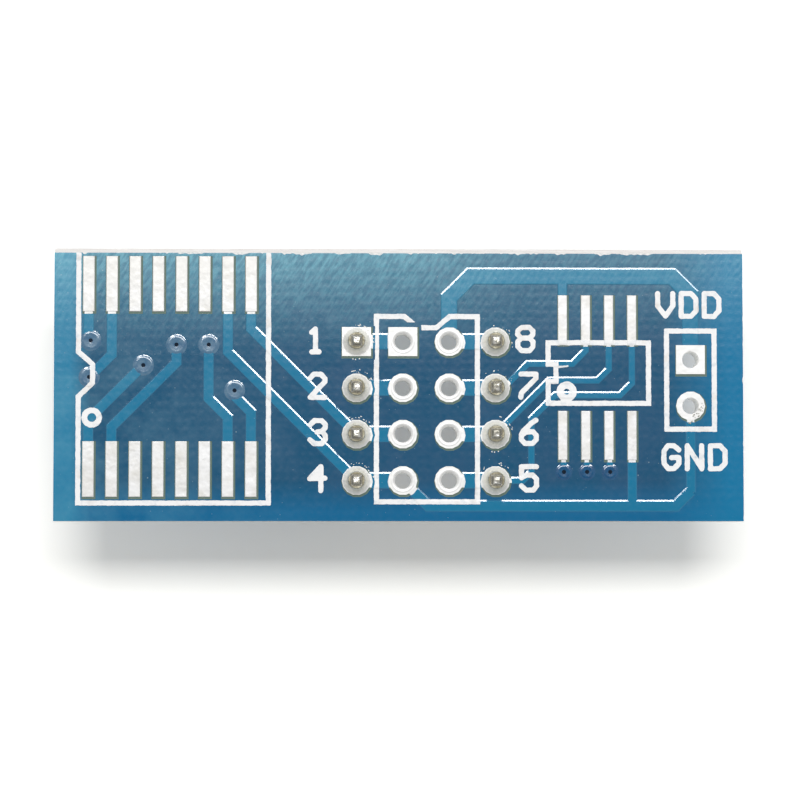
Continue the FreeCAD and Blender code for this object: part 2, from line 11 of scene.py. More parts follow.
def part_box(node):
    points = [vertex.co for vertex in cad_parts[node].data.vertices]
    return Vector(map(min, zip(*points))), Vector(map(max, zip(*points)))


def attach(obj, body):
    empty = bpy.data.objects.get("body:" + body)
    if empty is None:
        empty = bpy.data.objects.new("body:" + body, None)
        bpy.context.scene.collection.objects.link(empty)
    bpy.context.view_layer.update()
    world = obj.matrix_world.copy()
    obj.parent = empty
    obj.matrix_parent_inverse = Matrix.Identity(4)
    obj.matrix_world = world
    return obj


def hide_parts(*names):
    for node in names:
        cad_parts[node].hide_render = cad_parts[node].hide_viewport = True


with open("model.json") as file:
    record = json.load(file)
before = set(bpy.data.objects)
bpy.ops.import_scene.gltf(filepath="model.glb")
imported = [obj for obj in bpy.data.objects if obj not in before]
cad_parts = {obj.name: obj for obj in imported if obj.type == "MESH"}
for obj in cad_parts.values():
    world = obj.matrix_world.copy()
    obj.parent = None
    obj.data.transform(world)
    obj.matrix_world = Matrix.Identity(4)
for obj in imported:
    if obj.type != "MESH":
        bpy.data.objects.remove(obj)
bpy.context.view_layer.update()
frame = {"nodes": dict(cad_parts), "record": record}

# all lengths below are in millimetres, and this turns them into scene units
MM = 0.001

# the view: nearly straight down on the board, from a little south and west of its middle
view_x = 0.036
view_y = -0.865
view_south = 8.4
view_west = 3.7
view_up = 164.75
view_lens = 135.5
view_sensor = 36.0

# the main light: one wide strip a little to the north, and how much it gives a white upward face
strip_up = 300.0
strip_north = 93.0
strip_long = 190.0
strip_deep = 82.0
strip_share = 0.53

# small lamps that only gloss sees: the mask's sloping shoulders mirror them to the camera.
# Each is its name, place, width, depth and brightness
glints = [
    ("glint_north", (10.0, 111.0, 100.0), 70.0, 29.0, 25.0),
    ("glint_east", (61.0, 80.0, 100.0), 30.0, 30.0, 25.0),
    ("glint_west", (-51.0, 78.0, 100.0), 32.0, 28.0, 25.0),
    ("glint_far_east", (108.0, 97.0, 100.0), 24.0, 24.0, 13.0),
]

# light through the mask near the board's edges: how far in it begins, and how far in it is full
glow_south = (2.2, 0.5)
glow_west = (2.0, 0.9)
glow_east = (4.4, 0.8)

# a painted sheen on the mask, standing in for the light's reflection: its share on each side, and
# how far its brush-mark streaks turn and are drawn out
painted_sheen_top = 0.86
painted_sheen_under = 0.1
brush_turn = -58.0
brush_marks = (1.5, 5.5, 1.0)

# soft light from all round, weaker overhead. A band is where it changes, by the upward part of
# the direction: 0 at the horizon, 1 straight up
around_share = 0.5
zenith_share = 0.12
zenith_band = (0.88, 0.985)
low_band = (0.3, 0.6)

# the table: how bright it looks, its tint, and how much light it really sends back
floor_side = 4000.0
floor_seen = 1.46
floor_tint = (1.0, 0.993, 0.955)
floor_lit = 0.8

# ink: its stroke, the grid it is worked out on, and how ragged its edge is
ink_stroke = 0.28
ink_cell = 0.04
ink_rough = 0.018

# the pin field's outline was printed a little too far east, and it keeps off the square land
field_ink_east = 0.055
land_half = 0.8
land_clear_east = 0.14
land_clear_north = 0.26

# how far the small chip's outline runs over each of its upper pads, as a share of their pitch
over_pad_half = 0.36

# a thin stray fragment of ink, set off from the small chip's first pad
stray_west = 0.19
stray_north = 3.76
stray_long = 0.47
stray_rise = 0.05
stray_width = 0.1

# the pin numbers' middles, set off from their pins, and the two marks' from their power holes
number_left = (-2.14, 0.12)
number_right = (1.82, 0.15)
number_own = {1: (-2.25, 0.05), 8: (1.65, 0.17)}
supply_mark = (-0.1, 3.02)
ground_mark = (0.2, -2.82)
mark_pitch = 1.27

# the sides of a round bead or lip
round_sides = 32

# covered vias: a round bead with a pit. The rises are shares of the way in and of the lift there.
# Each large via is set off from a pad of the large chip's place by its column, its row and how
# far it lies east and north of that pad
bead_lift = 0.011
bead_foot = 0.088
bead_dip = 0.006
bead_ring = 0.2
bead_rises = [(0.25, 0.8), (0.5, 1.0), (0.75, 0.8)]
bead_edge = 0.004
pit_r = 0.115
pit_rim = 0.03
large_via_r = 0.49
small_via_r = 0.37
large_vias = [
    (0, "north", 0.12, -3.12),
    (0, "north", 0.04, -5.12),
    (0, "south", 3.0, 5.69),
    (1, "south", 3.54, 6.82),
    (6, "south", -1.05, 6.82),
    (7, "south", -0.9, 4.31),
]
small_via_columns = 3
small_via_east = 0.06
small_via_south = 2.0

# the raised lip round each open hole of the pin field
lip_gap = 0.015
lip_wide = 0.17
lip_slope = 0.04
lip_lift = 0.013
lip_edge = 0.004
lip_deep = 0.04

# a small drop: the share of its radius at some shares of its height, and how uneven it is
drop_levels = [(1.0, 0.0), (0.9, 0.45), (0.6, 0.85)]
drop_sides = 9
drop_uneven = 0.45

# solder spatter beside the joints: how many specks, their directions, reach and sizes, and the
# three crumbs that lie south of two of the pins
specks_left = 13
specks_right = 7
speck_turn = 62
speck_spread = 34
speck_near = 0.86
speck_far = 1.02
speck_small = 0.022
speck_large = 0.06
speck_high = 0.8
speck_flat = 0.6
speck_sunk = 0.004
crumb_places = [(-0.05, 0.98), (0.16, 0.94), (-0.2, 0.95)]
crumb_r = 0.04
crumb_high = 0.03

# soil on the ground hole's land, and a little of it just south of that land
soil_on_land = 16
soil_turns = (-100, 12)
soil_reach = (0.5, 0.72)
soil_r = (0.03, 0.085)
soil_high = 0.03
soil_flat = 0.5
south_soil = 5
south_soil_reach = (0.8, 0.98)
south_soil_half = 0.1
south_soil_r = (0.03, 0.06)
south_soil_high = 0.025

# white chips in the mask's edges: the most that is bitten off, and the strips that are looked at
chip_cell = 0.03
chip_lift = 0.003
chip_north = 0.13
chip_east = 0.07
chip_edge = 0.002
chip_corner = 0.05
chip_north_strip = 0.25
chip_east_strip = 0.12
chip_east_end = 0.3

# how the bites come and go along an edge. Each wave is its steps to the millimetre, where it
# starts in the noise, what is cut off it and its weight
coarse_wave = (1.1, (0, 3.3, 0), 0.12, 1.6)
fine_wave = (4.2, (0, 8.1, 0), 0.0, 0.9)
sawn_wave = (1.7, (5.2, 0, 0), 0.25, 2.0)


def box_mm(node):
    """The lowest and highest corner of a node, in millimetres."""
    low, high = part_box(node)
    return low / MM, high / MM


def centre_mm(node):
    low, high = box_mm(node)
    return (low + high) / 2


def mount_mm(name):
    """The place of one of the record's mounts, in millimetres."""
    for mount in frame["record"]["mounts"]:
        if mount["name"] == name:
            return Vector(mount["pos_m"]) / MM
    raise ValueError("no mount " + name)


def lead_pitch():
    return centre_mm("pad_4").x - centre_mm("pad_3").x


def face_level(node, up):
    """The height of a node's largest level face, on its upper side when up is 1, else its lower."""
    areas = {}
    for face in frame["nodes"][node].data.polygons:
        if face.normal.z * up > 0.999:
            level = round(face.center.z / MM, 4)
            areas[level] = areas.get(level, 0) + face.area
    return max(areas, key=areas.get)


# levels of the board's layers. A crest is where the mask runs over copper
board_low, board_high = box_mm("laminate")
mask_face = face_level("mask_top", 1)
crest_z = box_mm("mask_top")[1].z
under_face = face_level("mask_under", -1)
under_crest_z = box_mm("mask_under")[0].z
ink_thick = box_mm("ink_lines")[1].z - crest_z
land_top = box_mm("pad_3")[1].z
pin_top = box_mm("pin_1")[1].z


# node helpers

def feed(tree, socket, value):
    """Gives a socket its number, its colour or its link."""
    if isinstance(value, tuple):
        socket.default_value = (*value, 1.0)
    elif isinstance(value, (int, float)):
        socket.default_value = value
    else:
        tree.links.new(value, socket)


def reckoned(tree, operation, first, second):
    """One step of arithmetic on two values."""
    node = tree.nodes.new("ShaderNodeMath")
    node.operation = operation
    feed(tree, node.inputs[0], first)
    feed(tree, node.inputs[1], second)
    return node.outputs["Value"]


def mixed(tree, factor, first, second, kind="RGBA"):
    """A colour between two, or a number between two when the kind is FLOAT."""
    node = tree.nodes.new("ShaderNodeMix")
    node.data_type = kind
    base = 6 if kind == "RGBA" else 2
    feed(tree, node.inputs[0], factor)
    feed(tree, node.inputs[base], first)
    feed(tree, node.inputs[base + 1], second)
    return node.outputs[2 if kind == "RGBA" else 0]


def held_ramp(tree, value, low, high, to_low, to_high):
    """Maps a value from one range to another, held at the ends."""
    node = tree.nodes.new("ShaderNodeMapRange")
    node.clamp = True
    node.inputs["From Min"].default_value = low
    node.inputs["From Max"].default_value = high
    node.inputs["To Min"].default_value = to_low
    node.inputs["To Max"].default_value = to_high
    tree.links.new(value, node.inputs["Value"])
    return node.outputs["Result"]


class Finish:
    """A material made of nodes, with its surface shader at hand."""

    def __init__(self, name):
        self.material = bpy.data.materials.new(name)
        self.material.use_nodes = True
        self.tree = self.material.node_tree
        self.shader = self.tree.nodes["Principled BSDF"]
        self.mm = self.millimetres()

    def add(self, kind):
        return self.tree.nodes.new(kind)

    def link(self, source, target):
        self.tree.links.new(source, target)

    def millimetres(self):
        """The object's own coordinates, counted in millimetres."""
        place = self.add("ShaderNodeTexCoord")
        scaled = self.add("ShaderNodeVectorMath")
        scaled.operation = "SCALE"
        scaled.inputs["Scale"].default_value = 1 / MM
        self.link(place.outputs["Object"], scaled.inputs[0])
        return scaled.outputs["Vector"]

    def stretched(self, scale, vector=None):
        """The millimetre coordinates or others, stretched along the axes."""
        mapping = self.add("ShaderNodeMapping")
        mapping.inputs["Scale"].default_value = scale
        self.link(vector or self.mm, mapping.inputs["Vector"])
        return mapping.outputs["Vector"]

    def noise(self, scale, detail=3.0, roughness=0.55, vector=None, distortion=0.0):
        node = self.add("ShaderNodeTexNoise")
        node.inputs["Scale"].default_value = scale
        node.inputs["Detail"].default_value = detail
        node.inputs["Roughness"].default_value = roughness
        node.inputs["Distortion"].default_value = distortion
        self.link(vector or self.mm, node.inputs["Vector"])
        return node.outputs["Fac"]

    def between(self, value, low, high, to_low=0.0, to_high=1.0):
        return held_ramp(self.tree, value, low, high, to_low, to_high)

    def math(self, operation, first, second):
        return reckoned(self.tree, operation, first, second)

    def times(self, first, second):
        return self.math("MULTIPLY", first, second)

    def mix(self, factor, first, second):
        return mixed(self.tree, factor, first, second)

    def axis(self, name):
        node = self.add("ShaderNodeSeparateXYZ")
        self.link(self.mm, node.inputs["Vector"])
        return node.outputs[name]

    def bump(self, height, depth):
        """Raises the surface by a height texture. The depth is in millimetres."""
        node = self.add("ShaderNodeBump")
        node.inputs["Strength"].default_value = 1.0
        node.inputs["Distance"].default_value = depth * MM
        self.link(height, node.inputs["Height"])
        old = self.shader.inputs["Normal"]
        if old.is_linked:
            self.link(old.links[0].from_socket, node.inputs["Normal"])
        self.link(node.outputs["Normal"], old)

    def uneven_gloss(self, scale, low, high, detail=3.0):
        """A roughness that wanders from place to place between two values."""
        self.set(roughness=self.between(self.noise(scale, detail), 0.3, 0.7, low, high))

    def set(self, **values):
        names = {
            "color": "Base Color",
            "roughness": "Roughness",
            "metallic": "Metallic",
            "specular": "Specular IOR Level",
            "coat": "Coat Weight",
            "coat_roughness": "Coat Roughness",
        }
        for name, value in values.items():
            feed(self.tree, self.shader.inputs[names[name]], value)


def srgb(red, green, blue):
    """A colour written in 0 to 255 steps, as the linear values that the shaders take."""
    steps = []
    for value in (red, green, blue):
        value = value / 255
        steps.append(value / 12.92 if value <= 0.04045 else ((value + 0.055) / 1.055) ** 2.4)
    return tuple(steps)


# materials

def specks(finish, scale, share, size):
    """Small scattered spots, 1 inside a spot and 0 elsewhere."""
    cells = finish.add("ShaderNodeTexVoronoi")
    cells.inputs["Scale"].default_value = scale
    finish.link(finish.mm, cells.inputs["Vector"])
    spot = finish.between(cells.outputs["Distance"], size, size * 0.55)
    chosen = finish.add("ShaderNodeTexWhiteNoise")
    finish.link(cells.outputs["Color"], chosen.inputs["Vector"])
    some = finish.math("LESS_THAN", chosen.outputs["Value"], share)
    return finish.times(spot, some)


def weave(finish, pitch):
    """The crossing bundles of the glass cloth under the mask."""
    heights = []
    for direction in ("X", "Y"):
        wave = finish.add("ShaderNodeTexWave")
        wave.wave_type = "BANDS"
        wave.bands_direction = direction
        wave.inputs["Scale"].default_value = math.pi / 10 / pitch
        wave.inputs["Distortion"].default_value = 1.6
        wave.inputs["Detail"].default_value = 1.0
        wave.inputs["Detail Scale"].default_value = 0.8
        finish.link(finish.mm, wave.inputs["Vector"])
        heights.append(wave.outputs["Fac"])
    return finish.times(heights[0], heights[1])


def lit_edges(finish, middle):
    """The mask's tone over bare laminate: lighter towards the edges, where light comes through."""
    near_west = srgb(38, 130, 170)
    near_east = srgb(12, 122, 168)
    near_south = srgb(2, 104, 151)
    x = finish.axis("X")
    south = finish.between(finish.axis("Y"), *(board_low.y + inward for inward in glow_south))
    west = finish.between(x, *(board_low.x + inward for inward in glow_west))
    east = finish.between(x, *(board_high.x - inward for inward in glow_east))
    tone = finish.mix(south, middle, near_south)
    tone = finish.mix(west, tone, near_west)
    return finish.mix(east, tone, near_east)


def haze_cover(finish, cloudy, sheen_share):
    """Where the painted sheen lies: a pale colour standing in for the light's reflection, broken into
    fine slanting brush-mark streaks. Most along the north edge, least in the east, with a thin
    painted sheen over the west."""
    north = finish.between(finish.axis("Y"), 1.0, board_high.y - 0.3)
    west = finish.between(finish.axis("X"), 7.0, 0.0, 0.42, 0.9)
    spread = finish.times(finish.math("POWER", north, 1.5), west)
    turned_mm = finish.add("ShaderNodeMapping")
    turned_mm.inputs["Rotation"].default_value = (0.0, 0.0, math.radians(brush_turn))
    finish.link(finish.mm, turned_mm.inputs["Vector"])
    drawn_out = finish.stretched(brush_marks, turned_mm.outputs["Vector"])
    brushed = finish.noise(1.0, 4.0, 0.62, drawn_out)
    marks = finish.between(brushed, 0.4, 0.64, 0.5, 1.0)
    painted_sheen = finish.times(finish.times(spread, marks), sheen_share)
    sheen_veil = finish.between(finish.axis("X"), -4.0, board_low.x + 2.0, 0.0, 0.2 * sheen_share)
    return finish.math("MAXIMUM", painted_sheen, finish.times(sheen_veil, cloudy))


def mask_finish(name, flat_z, crest, sheen_share):
    """Blue gloss mask: greyer over laminate, greener over copper, with a painted sheen towards the
    north and west, a painted reflection.
    """
    finish = Finish(name)
    inner = srgb(14, 84, 120)
    inner_grey = srgb(36, 86, 122)
    over_copper = srgb(18, 122, 162)
    # a pale tone for the painted sheen, the light's reflection painted into the colour
    sheen_tone = srgb(116, 190, 208)
    dust = srgb(165, 190, 198)
    height = finish.axis("Z")
    step = crest - flat_z
    copper_below = finish.between(height, flat_z + 0.2 * step, flat_z + 0.7 * step)
    cloudy = finish.between(finish.noise(0.42, 5.0, 0.62), 0.36, 0.66)
    middle = finish.mix(cloudy, inner, inner_grey)
    colour = finish.mix(copper_below, lit_edges(finish, middle), over_copper)

    # a painted sheen along the north and west, broken into brush-mark streaks
    painted_sheen = haze_cover(finish, cloudy, sheen_share)
    colour = finish.mix(painted_sheen, colour, sheen_tone)
    fine = specks(finish, 2.1, 0.10, 0.10)
    grit = specks(finish, 6.5, 0.05, 0.16)
    dusty = finish.times(finish.math("MAXIMUM", fine, grit), 0.5)
    finish.set(color=finish.mix(dusty, colour, dust))
    grime = finish.noise(3.4, 5.0, 0.6)
    gloss = finish.between(grime, 0.3, 0.7, 0.15, 0.23)
    matted = finish.times(painted_sheen, 0.12)
    finish.set(roughness=finish.math("ADD", gloss, matted))
    finish.set(specular=0.35, coat=0.9, coat_roughness=0.06)
    finish.bump(weave(finish, 0.46), 0.0022)
    finish.bump(finish.noise(4.0, 2.0), 0.0025)
    return finish.material


def bead_finish(name, tone, deep):
    """The mask where it closes a via: greyer than over a trace, or deeper on the small ones."""
    finish = Finish(name)
    finish.set(color=finish.mix(finish.between(finish.noise(3.0, 3.0), 0.35, 0.65), tone, deep))
    finish.uneven_gloss(7.0, 0.16, 0.3)
    finish.set(specular=0.4, coat=0.9, coat_roughness=0.06)
    finish.bump(finish.noise(12.0, 2.0), 0.002)
    return finish.material


def pit_finish():
    """The pit in a via's bead, painted dark: a painted shade for the hole below it."""
    finish = Finish("via_pit_painted_shade")
    finish.set(color=finish.mix(finish.noise(9.0, 2.0), srgb(8, 20, 34), srgb(20, 38, 56)))
    finish.uneven_gloss(11.0, 0.7, 0.9)
    finish.set(specular=0.1)
    return finish.material


def ink_finish():
    """White legend ink, thin at places, a little soiled."""
    finish = Finish("ink_white")
    clean = srgb(247, 247, 247)
    thin = srgb(214, 222, 229)
    soiled = srgb(222, 214, 206)
    patches = finish.between(finish.noise(2.6, 4.0, 0.6), 0.52, 0.78)
    stains = finish.between(finish.noise(1.1, 3.0, 0.5), 0.58, 0.8)
    finish.set(color=finish.mix(stains, finish.mix(patches, clean, thin), soiled))
    finish.uneven_gloss(9.0, 0.48, 0.66)
    finish.bump(finish.noise(14.0, 4.0, 0.6), 0.006)
    finish.bump(finish.noise(3.0, 2.0), 0.01)
    return finish.material


def tin_finish():
    """Solder-levelled copper: pale, soft gloss, slightly uneven, whitest round the open holes. Down
    inside the holes it is painted near white, a painted reflection of the white table below.
    """
    finish = Finish("tinned_pads")
    bright = srgb(225, 225, 225)
    warm = srgb(209, 207, 201)
    whitest = srgb(231, 231, 229)
    painted_light_in_holes = srgb(252, 252, 250)
    clouds = finish.between(finish.noise(0.9, 4.0, 0.6), 0.42, 0.72)
    north = finish.between(finish.axis("Y"), 0.5 * board_high.y, 0.8 * board_high.y, 0.0, 0.6)
    clouded = finish.mix(finish.math("MAXIMUM", clouds, north), bright, warm)
    away = finish.math("ABSOLUTE", finish.axis("X"), 0.0)
    pins_reach = centre_mm("pin_8").x + 1.0
    power_reach = mount_mm("power_hole_supply").x - 1.0
    between_pins = finish.between(away, pins_reach + 0.3, pins_reach)
    at_power = finish.between(away, power_reach - 0.3, power_reach, 0.0, 0.8)
    at_power = finish.times(at_power, finish.between(finish.axis("X"), 0.0, 1.0))
    clouded = finish.mix(finish.math("MAXIMUM", between_pins, at_power), clouded, whitest)
    # down inside the holes the tin is painted near white: painted light, for the table's light
    # reflected up the walls
    height = finish.axis("Z")
    from_top = finish.between(height, land_top - 0.06, land_top - 0.2)
    from_under = finish.between(height, board_low.z, board_low.z + 0.14)
    deep = finish.times(from_top, from_under)
    finish.set(color=finish.mix(deep, clouded, painted_light_in_holes))
    finish.set(metallic=0.18)
    finish.uneven_gloss(4.0, 0.36, 0.55, 4.0)
    finish.bump(finish.noise(1.6, 2.0), 0.03)
    finish.bump(finish.noise(18.0, 3.0), 0.002)
    return finish.material


def solder_finish():
    """Hand-soldered joints: white at the foot, beige up the cone, and darkest round the pin, where
    the darkening is a painted shade.
    """
    finish = Finish("joint_solder")
    foot = srgb(248, 247, 243)
    flank = srgb(250, 247, 234)
    painted_throat_shade = srgb(132, 126, 102)
    stained = srgb(218, 213, 190)
    rise = box_mm("solder_1")[1].z - land_top
    height = finish.axis("Z")
    lower = finish.between(height, land_top + 0.04, land_top + 0.3 * rise)
    # near the pin the colour darkens to a painted shade
    upper = finish.between(height, land_top + 0.62 * rise, land_top + 0.95 * rise)
    rising = finish.mix(upper, finish.mix(lower, foot, flank), painted_throat_shade)
    stain = finish.between(finish.noise(2.4, 4.0, 0.62), 0.5, 0.74)
    stain = finish.times(stain, lower)
    finish.set(color=finish.mix(finish.times(stain, 0.7), rising, stained))
    finish.set(metallic=finish.between(height, land_top, land_top + 0.8 * rise, 0.05, 0.22))
    finish.uneven_gloss(5.0, 0.28, 0.5, 4.0)
    finish.bump(finish.noise(3.2, 3.0), 0.04)
    finish.bump(finish.noise(26.0, 3.0), 0.003)
    return finish.material


def pin_finish():
    """Tin-plated square wire with faint marks along its length. Its tip is painted dark in patches,
    a painted shade between its glinting corners.
    """
    finish = Finish("pin_tin")
    bright = srgb(226, 224, 218)
    dull = srgb(176, 173, 165)
    along = finish.noise(2.0, 4.0, 0.6, finish.stretched((9.0, 9.0, 0.7)))
    marks = finish.between(along, 0.42, 0.7)
    tip = finish.between(finish.axis("Z"), pin_top - 0.2, pin_top - 0.1)
    lobes = finish.between(finish.noise(3.1, 2.0, 0.5), 0.47, 0.56)
    # painted shade on the tip, in patches between the lobes that glint
    painted_tip_shade = finish.times(finish.times(tip, lobes), 0.6)
    finish.set(color=finish.mix(painted_tip_shade, finish.mix(marks, bright, dull), srgb(122, 118, 98)))
    finish.set(metallic=0.55)
    finish.bump(finish.times(finish.noise(3.1, 2.0, 0.5), tip), 0.1)
    finish.set(roughness=finish.between(along, 0.3, 0.7, 0.2, 0.38))
    finish.bump(along, 0.006)
    return finish.material


def soiled_finish():
    """Crumbs of old solder, grey with flux."""
    finish = Finish("soiled_solder")
    finish.set(color=finish.mix(finish.noise(8.0, 3.0), srgb(86, 86, 76), srgb(190, 190, 180)))
    finish.uneven_gloss(9.0, 0.35, 0.6)
    finish.set(metallic=0.4)
    finish.bump(finish.noise(20.0, 3.0), 0.01)
    return finish.material


def chip_finish():
    """Bare glass fibre in the chips of the mask's edge."""
    finish = Finish("chipped_edge")
    tone = finish.between(finish.noise(5.0, 3.0), 0.4, 0.7)
    finish.set(color=finish.mix(tone, srgb(244, 243, 240), srgb(206, 214, 214)))
    finish.uneven_gloss(9.0, 0.6, 0.8)
    finish.bump(finish.noise(16.0, 3.0), 0.01)
    return finish.material


def plastic_finish():
    """Black moulded plastic with a fine spark-eroded grain."""
    finish = Finish("strip_black")
    black = srgb(30, 30, 31)
    greyed = srgb(52, 52, 53)
    worn = finish.between(finish.noise(0.8, 5.0, 0.65), 0.46, 0.8)
    dusty = specks(finish, 2.8, 0.1, 0.1)
    finish.set(color=finish.mix(finish.math("MAXIMUM", worn, dusty), black, greyed))
    finish.uneven_gloss(6.0, 0.4, 0.58)
    finish.bump(finish.noise(22.0, 4.0, 0.65), 0.008)
    finish.bump(finish.noise(1.2, 2.0), 0.02)
    return finish.material


def laminate_finish():
    """Glass-fibre laminate: pale layered edges with torn fibres, olive where a face is bare."""
    finish = Finish("glass_laminate")
    resin = srgb(242, 238, 235)
    glass = srgb(252, 249, 247)
    dark = srgb(212, 208, 198)
    aged = srgb(214, 208, 172)
    olive = srgb(98, 120, 108)
    layers = finish.noise(1.0, 3.0, 0.5, finish.stretched((0.5, 0.5, 9.0)), 0.4)
    fibres = finish.noise(1.0, 4.0, 0.7, finish.stretched((14.0, 14.0, 3.0)))
    layered = finish.mix(finish.between(layers, 0.4, 0.62), resin, glass)
    torn = finish.between(fibres, 0.56, 0.72)
    edge = finish.mix(finish.times(torn, 0.6), layered, dark)
    sawn = finish.between(finish.axis("Y"), board_high.y - 0.3, board_high.y - 0.45, 0.0, 0.55)
    edge = finish.mix(sawn, edge, aged)
    height = finish.axis("Z")
    skin = 0.004
    upper = finish.math("GREATER_THAN", height, board_high.z - skin)
    lower = finish.math("LESS_THAN", height, board_low.z + skin)
    finish.set(color=finish.mix(finish.math("MAXIMUM", upper, lower), edge, olive))
    finish.set(roughness=finish.between(fibres, 0.3, 0.7, 0.62, 0.82), specular=0.4)
    finish.bump(layers, 0.02)
    finish.bump(fibres, 0.02)
    return finish.material


# modifiers on the frame's nodes

def soften(node, width):
    """Rounds a node's edges. Its own mesh stays as it is."""
    piece = frame["nodes"][node]
    weld = piece.modifiers.new("weld", "WELD")
    weld.merge_threshold = 0.0005 * MM
    flat = piece.modifiers.new("flat", "DECIMATE")
    flat.decimate_type = "DISSOLVE"
    flat.angle_limit = math.radians(0.5)
    bevel = piece.modifiers.new("edges", "BEVEL")
    bevel.width = width * MM
    bevel.segments = 2
    bevel.limit_method = "ANGLE"
    bevel.angle_limit = math.radians(12.0)
    bevel.harden_normals = True
    bevel.miter_outer = "MITER_SHARP"


def finish_nodes():
    """Gives every node of the frame its material and its rounded edges."""
    finishes = {
        "laminate": laminate_finish(),
        "ink": ink_finish(),
        "tinned_copper": tin_finish(),
        "solder": solder_finish(),
        "pin_plating": pin_finish(),
        "strip_plastic": plastic_finish(),
        "bead": bead_finish("mask_blue_bead", srgb(92, 128, 154), srgb(62, 106, 140)),
        "bead_small": bead_finish("mask_blue_bead_small", srgb(16, 88, 132), srgb(10, 74, 118)),
        "pit_shade": pit_finish(),
        "soiled": soiled_finish(),
        "chip": chip_finish(),
    }
    masks = {
        "mask_top": mask_finish("mask_blue_top", mask_face, crest_z, painted_sheen_top),
        "mask_under": mask_finish("mask_blue_under", under_face, under_crest_z, painted_sheen_under),
    }
    widths = {
        "laminate": 0.03,
        "solder_mask": 0.012,
        "ink": 0.008,
        "tinned_copper": 0.02,
        "solder": 0.05,
        "pin_plating": 0.03,
        "strip_plastic": 0.05,
    }
    for name, piece in frame["nodes"].items():
        slot = piece.data.materials[0].name
        for own in piece.material_slots:
            own.link = "OBJECT"
            own.material = masks[name] if name in masks else finishes[slot]
        soften(name, widths[slot])
    return finishes


# ink figures

# the strokes of each figure, counted in steps from its middle
FIGURES = {
    "1": [[(-3.8, 8.4), (0, 11.7), (0, -11)], [(-3.9, -11.2), (3.6, -11.2)]],
    "2": [[(-7.9, 7.1), (-3.6, 11.4), (3.4, 11.4), (7.6, 7.1), (7.6, 4.0), (-7.3, -11.7),
           (7.6, -11.9)]],
    "3": [[(-7.3, 7.1), (-3.0, 11.3), (4.4, 11.3), (7.8, 7.6), (7.8, 4.3), (4.8, 0.4),
           (-0.4, -0.2)],
          [(4.8, 0.4), (7.8, -3.4), (7.8, -7.9), (4.4, -11.7), (-3.0, -11.7), (-7.5, -7.7)]],
    "4": [[(3.6, -12.2), (3.6, 11.7), (-7.8, -0.4), (7.6, 0.2)],
          [(3.6, 7.5), (-3.0, 0.6), (3.6, 3.5)]],
    "5": [[(7.8, 11.3), (-7.2, 11.3), (-7.2, 0.3), (-2.2, 2.8), (4.0, 2.8), (7.8, -1.2),
           (7.8, -7.9), (4.4, -12.2), (-2.4, -12.2), (-7.4, -7.9)]],
    "6": [[(7.5, 11.3), (2.4, 8.2), (-5.4, 0.4), (-7.3, -3.0), (-7.3, -8.0), (-3.8, -11.9),
           (3.9, -11.9), (7.6, -8.2), (7.6, -3.4), (4.4, -0.2), (-3.0, -0.4), (-7.3, -4.0)]],
    "7": [[(-7.6, 11.3), (7.6, 11.3), (7.6, 7.2), (-7.3, -7.8), (-7.7, -11.8)]],
    "8": [[(-3.6, 11.4), (4.0, 11.4), (7.6, 8.0), (7.6, 4.2), (4.4, 0.8), (-4.2, 0.8),
           (-7.5, 4.2), (-7.5, 8.0), (-3.6, 11.4)],
          [(-4.2, 0.4), (-7.5, -2.8), (-7.5, -7.9), (-3.9, -11.9), (4.3, -11.9), (7.6, -7.9),
           (7.6, -2.8), (4.4, 0.4)]],
    "V": [[(-7.6, 11.4), (-7.6, -1.0), (0.2, -11.2), (7.6, -1.0), (7.6, 11.4)]],
    "D": [[(-7.2, 11.5), (2.6, 11.5), (7.6, 6.0), (7.6, -6.0), (2.6, -11.5), (-7.2, -11.5),
           (-7.2, 11.5)]],
    "G": [[(7.5, 7.3), (2.6, 11.5), (-3.4, 11.5), (-7.5, 6.3), (-7.5, -6.2), (-3.0, -11.5),
           (2.5, -11.5), (7.5, -6.3), (7.5, -0.3), (0.2, -0.3)]],
    "N": [[(-7.3, -11.5), (-7.3, 11.5), (7.3, -11.5), (7.3, 11.5)]],
}

# the length of a step, and how many steps from its middle a figure is worked out
FIGURE_STEP = 0.0548
FIGURE_REACH = 15.5


def upper_surface():
    """All that shows on the board's upper side, for laying things on it."""
    points = []
    faces = []
    for name, piece in frame["nodes"].items():
        if not name.startswith(("mask_top", "laminate", "net_", "pad_", "solder_")):
            continue
        base = len(points)
        points += [vertex.co / MM for vertex in piece.data.vertices]
        faces += [[base + k for k in face.vertices] for face in piece.data.polygons]
    return BVHTree.FromPolygons(points, faces)


def surface_height(surface, x, y):
    """The height of the upper side at a place, never below the mask's flat face."""
    hit = surface.ray_cast(Vector((x, y, crest_z + 1)), Vector((0, 0, -1)))[0]
    if hit is None:
        return mask_face
    return max(hit.z, mask_face)


def distance_to_run(xs, ys, start, end):
    """How far each grid point is from a straight run."""
    ax, ay = start
    bx, by = end
    dx = bx - ax
    dy = by - ay
    along = ((xs - ax) * dx + (ys - ay) * dy) / (dx * dx + dy * dy)
    along = np.clip(along, 0, 1)
    return np.hypot(xs - ax - along * dx, ys - ay - along * dy)


def stroke_field(runs, width, xs, ys, seed):
    """Below zero inside strokes of one width, with a slightly rough edge."""
    field = np.full(xs.shape, 1e9)
    for run in runs:
        for start, end in zip(run, run[1:]):
            field = np.minimum(field, distance_to_run(xs, ys, start, end))
    return roughened(field - width / 2, xs, ys, seed)


def roughened(field, xs, ys, seed):
    """Moves the edge of a field in and out a little, only where the edge is near."""
    near = np.abs(field) < 4 * ink_cell
    for i, j in zip(*np.nonzero(near)):
        place = Vector((xs[i, j] * 3.5, ys[i, j] * 3.5, seed))
        rough = noise.noise(place) + 0.5 * noise.noise(place * 2.6) + 0.4 * noise.noise(place * 6)
        field[i, j] += rough * ink_rough
    return field


